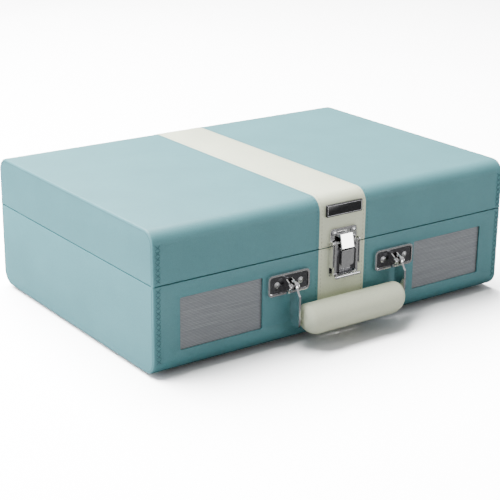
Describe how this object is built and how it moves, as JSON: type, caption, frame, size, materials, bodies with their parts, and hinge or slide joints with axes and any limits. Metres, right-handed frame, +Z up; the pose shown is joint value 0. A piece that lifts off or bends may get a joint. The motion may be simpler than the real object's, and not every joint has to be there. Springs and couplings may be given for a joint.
{
  "type": "suitcase record player",
  "caption": "Closed suitcase record player: covered case with centre band, draw latch, carrying handle, front speakers, and a turntable deck inside.",
  "frame": {"origin": "on the ground under the middle of the whole object, handle and hinges included", "axes": "+X to the right along the width seen from the front, +Y to the back where the hinges are, +Z up"},
  "size_m": [0.355, 0.288, 0.1177],
  "materials": {
    "blue_leatherette": "grained, satin",
    "cream_leatherette": "grained, satin",
    "grille_cloth": "woven, matt",
    "speaker_cone": "matt",
    "rubber": "matt",
    "felt": "felt",
    "brass": "satin",
    "circuit_board": "satin",
    "red_plastic": "gloss",
    "steel": "brushed",
    "badge": "gloss",
    "chrome": "polished",
    "black_plastic": "moulded satin"
  },
  "bodies": {
    "base": {"base_shell": "blue_leatherette", "base_band": "cream_leatherette", "grille_left": "grille_cloth", "grille_right": "grille_cloth", "speaker_left": "speaker_cone", "speaker_right": "speaker_cone", "deck_plate": "black_plastic", "rca_jack_pair": "steel", "dc_jack": "black_plastic", "aux_jack": "black_plastic", "headphone_jack": "steel", "circuit_board": "circuit_board", "motor": "steel", "drive_belt": "rubber", "platter_bearing": "brass", "foot_front_left": "rubber", "foot_front_right": "rubber", "foot_back_left": "rubber", "foot_back_right": "rubber", "latch_base": "chrome", "handle_bracket_left": "chrome", "handle_bracket_right": "chrome", "bracket_screw_left_inner": "chrome", "bracket_screw_left_outer": "chrome", "bracket_screw_right_inner": "chrome", "bracket_screw_right_outer": "chrome", "handle_pin_left": "chrome", "handle_pin_right": "chrome", "hinge_base_leaf_left": "steel", "hinge_base_leaf_right": "steel", "hinge_pin_left": "steel", "hinge_pin_right": "steel", "arm_base": "black_plastic", "arm_rest": "black_plastic", "adapter_45": "black_plastic"},
    "lid": {"lid_shell": "blue_leatherette", "lid_band": "cream_leatherette", "name_badge": "badge", "latch_keeper": "chrome", "keeper_screw_left": "chrome", "keeper_screw_right": "chrome", "hinge_lid_leaf_left": "steel", "hinge_lid_leaf_right": "steel"},
    "latch_lever": {"latch_lever": "chrome"},
    "latch_claw": {"latch_claw": "chrome"},
    "handle": {"handle_strap": "chrome", "handle_grip": "cream_leatherette"},
    "platter": {"platter": "steel", "spindle": "steel", "slipmat": "felt"},
    "motor_pulley": {"motor_pulley": "brass"},
    "tonearm_yoke": {"arm_yoke": "black_plastic"},
    "tonearm": {"arm_tube": "steel", "cartridge": "red_plastic"},
    "cue_lever": {"cue_lever": "steel"},
    "cue_lift": {"cue_lift": "black_plastic"},
    "volume_knob": {"volume_knob": "black_plastic"},
    "speed_switch": {"speed_switch": "black_plastic"},
    "autostop_switch": {"autostop_switch": "black_plastic"},
    "arm_clip": {"arm_clip": "black_plastic"}
  },
  "joints": [
    {"name": "lid_hinge", "type": "hinge", "parent": "base", "child": "lid", "pos_m": [0, 0.14135, 0.0754], "axis": [-1, 0, 0], "range_deg": [0, 100]},
    {"name": "handle_swing", "type": "hinge", "parent": "base", "child": "handle", "pos_m": [0, -0.12085, 0.0534], "axis": [-1, 0, 0], "range_deg": [0, 90]},
    {"name": "latch_lever_swing", "type": "hinge", "parent": "base", "child": "latch_lever", "pos_m": [0, -0.11745, 0.079], "axis": [-1, 0, 0], "range_deg": [0, 110]},
    {"name": "latch_claw_swing", "type": "hinge", "parent": "latch_lever", "child": "latch_claw", "pos_m": [0, -0.12025, 0.075], "axis": [-1, 0, 0], "range_deg": [-110, 0]},
    {"name": "platter_spin", "type": "hinge", "parent": "base", "child": "platter", "pos_m": [-0.052, 0.00665, 0.072], "axis": [0, 0, -1], "continuous": true},
    {"name": "pulley_spin", "type": "hinge", "parent": "base", "child": "motor_pulley", "pos_m": [-0.10857, 0.06322, 0.0624], "axis": [0, 0, -1], "continuous": true},
    {"name": "tonearm_swing", "type": "hinge", "parent": "base", "child": "tonearm_yoke", "pos_m": [0.112, 0.09665, 0.09], "axis": [0, 0, -1], "range_deg": [0, 45]},
    {"name": "tonearm_lift", "type": "hinge", "parent": "tonearm_yoke", "child": "tonearm", "pos_m": [0.112, 0.09665, 0.09], "axis": [-1, 0, 0], "range_deg": [0, 4]},
    {"name": "cue_lever_swing", "type": "hinge", "parent": "base", "child": "cue_lever", "pos_m": [0.131, 0.08665, 0.0813], "axis": [-1, 0, 0], "range_deg": [0, 40]},
    {"name": "cue_lift_slide", "type": "slide", "parent": "base", "child": "cue_lift", "axis": [0, 0, 1], "range_m": [0, 0.0014]},
    {"name": "volume_turn", "type": "hinge", "parent": "base", "child": "volume_knob", "pos_m": [0.149, -0.07735, 0.07], "axis": [0, 0, -1], "range_deg": [0, 280]},
    {"name": "speed_slide", "type": "slide", "parent": "base", "child": "speed_switch", "axis": [0, 1, 0], "range_m": [0, 0.01]},
    {"name": "autostop_slide", "type": "slide", "parent": "base", "child": "autostop_switch", "axis": [0, 1, 0], "range_m": [0, 0.006]},
    {"name": "arm_clip_swing", "type": "hinge", "parent": "base", "child": "arm_clip", "pos_m": [0.119, -0.02335, 0.0875], "axis": [0, -1, 0], "range_deg": [0, 90]}
  ],
  "couplings": [
    {"joint": "latch_claw_swing", "follows": "latch_lever_swing", "ratio": -1},
    {"joint": "pulley_spin", "follows": "platter_spin", "ratio": 10},
    {"joint": "cue_lever_swing", "follows": "tonearm_lift", "ratio": 10},
    {"joint": "cue_lift_slide", "follows": "tonearm_lift", "m_per_rad": 0.02}
  ]
}
